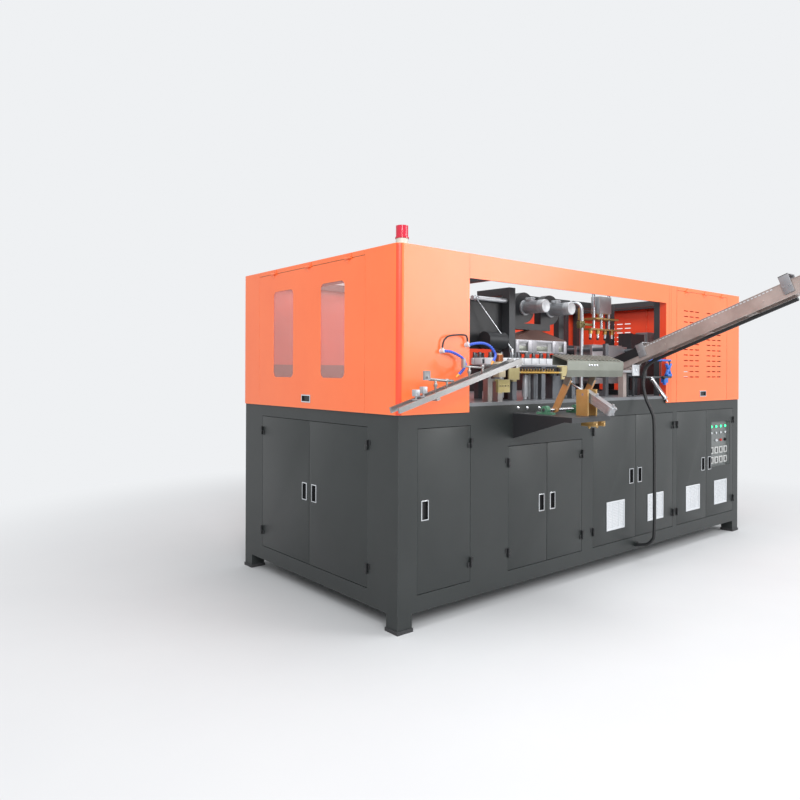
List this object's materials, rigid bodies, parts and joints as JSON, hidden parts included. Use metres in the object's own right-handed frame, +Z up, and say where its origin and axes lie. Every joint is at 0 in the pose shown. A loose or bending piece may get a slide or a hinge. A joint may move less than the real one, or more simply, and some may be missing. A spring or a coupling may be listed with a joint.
{
  "type": "blow moulding machine",
  "caption": "Blow moulding machine: long cabinet with double doors, sheet-metal hood open at the front, preform chain, oven, mould, take-out arm and feed chute.",
  "frame": {"origin": "centre of the rectangle of the levelling-foot holes, on the floor", "axes": "+X along the machine to the right as seen from the front, +Y to the rear, +Z up"},
  "size_m": [4.1132, 2.9675, 2.208],
  "materials": {
    "cabinet_grey": "satin powder coat",
    "pad_grey": "satin",
    "table_steel": "satin",
    "hinge_black": "matte",
    "plate_grey": "satin",
    "meter_white": "gloss",
    "lamp_green": "glowing lens",
    "button_white": "gloss",
    "button_red": "gloss",
    "selector_black": "matte",
    "frame_dark": "satin",
    "hood_orange": "satin powder coat",
    "window_clear": "clear tinted sheet",
    "beacon_ivory": "gloss",
    "beacon_red": "translucent red",
    "oven_steel": "brushed",
    "lamp_glass": "clear tube",
    "exhaust_brown": "satin",
    "scroll_black": "satin",
    "motor_grey": "silver paint",
    "zinc_yellow": "yellow zinc",
    "chain_white": "satin",
    "wheel_steel": "turned",
    "clamp_steel": "milled",
    "mould_alu": "milled",
    "drive_grey": "satin",
    "shelf_dark": "satin",
    "bearing_green": "painted",
    "shaft_steel": "ground",
    "lever_copper": "copper tinted plating",
    "tray_steel": "folded stainless sheet",
    "cheek_zinc": "yellow zinc",
    "cylinder_alu": "anodised",
    "rod_chrome": "polished",
    "rail_steel": "brushed",
    "hose_blue": "satin",
    "chute_steel": "stainless",
    "cover_black": "matte",
    "conduit_black": "matte"
  },
  "bodies": {
    "machine": {"base_frame": "cabinet_grey", "base_panels": "cabinet_grey", "foot_pads": "pad_grey", "machine_table": "table_steel", "hinge_halves": "hinge_black", "hood_frame": "frame_dark", "hood_corners": "hood_orange", "hood_fascia": "hood_orange", "hood_end_wall": "hood_orange", "hood_rear_panels": "hood_orange", "beacon_foot": "beacon_ivory", "beacon_dome": "beacon_red", "inner_gantry": "frame_dark", "oven_walls": "oven_steel", "oven_lamps": "lamp_glass", "exhaust_hood": "exhaust_brown", "blower_scrolls": "scroll_black", "blower_motors": "motor_grey", "conveyor_frame": "zinc_yellow", "preform_chain": "chain_white", "clamp_frame": "clamp_steel", "head_support": "zinc_yellow", "transfer_drive": "drive_grey", "take_out_shelf": "shelf_dark", "shaft_bearings": "bearing_green", "cylinder_cheeks": "cheek_zinc", "outlet_rails": "rail_steel", "air_nozzles": "hose_blue", "feed_chute": "chute_steel", "chute_cover": "cover_black", "conduit": "conduit_black", "air_tube": "conduit_black"},
    "front_door": {"front_door": "cabinet_grey"},
    "low_door_left": {"low_door_left": "cabinet_grey"},
    "low_door_right": {"low_door_right": "cabinet_grey"},
    "middle_door_left": {"middle_door_left": "cabinet_grey"},
    "middle_door_right": {"middle_door_right": "cabinet_grey"},
    "right_door_left": {"right_door_left": "cabinet_grey"},
    "right_door_right": {"right_door_right": "cabinet_grey", "control_plate": "plate_grey", "panel_meters": "meter_white", "panel_lamps": "lamp_green"},
    "end_door_front": {"end_door_front": "cabinet_grey"},
    "end_door_rear": {"end_door_rear": "cabinet_grey"},
    "start_button": {"start_button": "button_white"},
    "stop_button": {"stop_button": "button_red"},
    "mode_selector": {"mode_selector": "selector_black"},
    "end_hatch": {"end_hatch": "hood_orange", "end_hatch_windows": "window_clear"},
    "front_hatch": {"front_hatch": "hood_orange"},
    "drive_wheel": {"drive_wheel": "wheel_steel"},
    "idler_wheel": {"idler_wheel": "wheel_steel"},
    "mould_front": {"mould_front": "mould_alu"},
    "mould_rear": {"mould_rear": "mould_alu"},
    "blowing_head": {"blowing_head": "zinc_yellow"},
    "swing_arm": {"swing_shaft": "shaft_steel", "swing_levers": "lever_copper", "take_out_tray": "tray_steel"},
    "swing_cylinder": {"swing_cylinder": "cylinder_alu"},
    "cylinder_rod": {"cylinder_rod": "rod_chrome"}
  },
  "joints": [
    {"name": "front_door_hinge", "type": "hinge", "parent": "machine", "child": "front_door", "pos_m": [-1.432, -0.883, 0.6], "axis": [0, 0, 1], "range_deg": [0, 90]},
    {"name": "low_door_left_hinge", "type": "hinge", "parent": "machine", "child": "low_door_left", "pos_m": [-1.104, -0.883, 0.6], "axis": [0, 0, -1], "range_deg": [0, 90]},
    {"name": "low_door_right_hinge", "type": "hinge", "parent": "machine", "child": "low_door_right", "pos_m": [-0.35, -0.883, 0.6], "axis": [0, 0, 1], "range_deg": [0, 90]},
    {"name": "middle_door_left_hinge", "type": "hinge", "parent": "machine", "child": "middle_door_left", "pos_m": [-0.223, -0.883, 0.6], "axis": [0, 0, -1], "range_deg": [0, 90]},
    {"name": "middle_door_right_hinge", "type": "hinge", "parent": "machine", "child": "middle_door_right", "pos_m": [0.852, -0.883, 0.6], "axis": [0, 0, 1], "range_deg": [0, 90]},
    {"name": "right_door_left_hinge", "type": "hinge", "parent": "machine", "child": "right_door_left", "pos_m": [0.912, -0.883, 0.6], "axis": [0, 0, -1], "range_deg": [0, 90]},
    {"name": "right_door_right_hinge", "type": "hinge", "parent": "machine", "child": "right_door_right", "pos_m": [1.885, -0.883, 0.6], "axis": [0, 0, 1], "range_deg": [0, 90]},
    {"name": "end_door_front_hinge", "type": "hinge", "parent": "machine", "child": "end_door_front", "pos_m": [-1.988, -0.603, 0.6], "axis": [0, 0, 1], "range_deg": [0, 90]},
    {"name": "end_door_rear_hinge", "type": "hinge", "parent": "machine", "child": "end_door_rear", "pos_m": [-1.988, 0.622, 0.6], "axis": [0, 0, -1], "range_deg": [0, 90]},
    {"name": "start_button_press", "type": "slide", "parent": "right_door_right", "child": "start_button", "axis": [0, 1, 0], "range_m": [0, 0.004], "stiffness_N_per_m": 400},
    {"name": "stop_button_press", "type": "slide", "parent": "right_door_right", "child": "stop_button", "axis": [0, 1, 0], "range_m": [0, 0.004], "stiffness_N_per_m": 400},
    {"name": "mode_selector_turn", "type": "hinge", "parent": "right_door_right", "child": "mode_selector", "pos_m": [1.78113, -0.865, 0.827], "axis": [0, -1, 0], "range_deg": [-45, 45]},
    {"name": "end_hatch_hinge", "type": "hinge", "parent": "machine", "child": "end_hatch", "pos_m": [-2.003, 0.028, 2.07], "axis": [0, 1, 0], "range_deg": [0, 80]},
    {"name": "front_hatch_hinge", "type": "hinge", "parent": "machine", "child": "front_hatch", "pos_m": [1.3065, -0.898, 2.07], "axis": [-1, 0, 0], "range_deg": [0, 80]},
    {"name": "drive_wheel_turn", "type": "hinge", "parent": "machine", "child": "drive_wheel", "pos_m": [-0.3704, -0.625, 1.465], "axis": [0, 0, 1], "continuous": true},
    {"name": "idler_wheel_turn", "type": "hinge", "parent": "machine", "child": "idler_wheel", "pos_m": [-0.98, -0.625, 1.465], "axis": [0, 0, 1], "continuous": true},
    {"name": "mould_rear_open", "type": "slide", "parent": "machine", "child": "mould_rear", "axis": [0, 1, 0], "range_m": [0, 0.07]},
    {"name": "mould_front_open", "type": "slide", "parent": "machine", "child": "mould_front", "axis": [0, -1, 0], "range_m": [0, 0.07]},
    {"name": "blowing_head_lower", "type": "slide", "parent": "machine", "child": "blowing_head", "axis": [0, 0, -1], "range_m": [0, 0.036]},
    {"name": "arm_swing", "type": "hinge", "parent": "machine", "child": "swing_arm", "pos_m": [-0.78, -1.075, 1.185], "axis": [-1, 0, 0], "range_deg": [0, 45]},
    {"name": "cylinder_tilt", "type": "hinge", "parent": "machine", "child": "swing_cylinder", "pos_m": [-0.8815, -1.29, 1.282], "axis": [-1, 0, 0], "range_deg": [0, 12.74]},
    {"name": "rod_slide", "type": "slide", "parent": "swing_cylinder", "child": "cylinder_rod", "axis": [0, 0.8717, 0.49], "range_m": [0, 0.1409]}
  ],
  "couplings": [
    {"joint": "idler_wheel_turn", "follows": "drive_wheel_turn", "ratio": 1},
    {"joint": "mould_front_open", "follows": "mould_rear_open", "ratio": 1},
    {"joint": "cylinder_tilt", "follows": "arm_swing", "ratio": 0.26989},
    {"joint": "rod_slide", "follows": "arm_swing", "m_per_rad": 0.17682}
  ]
}
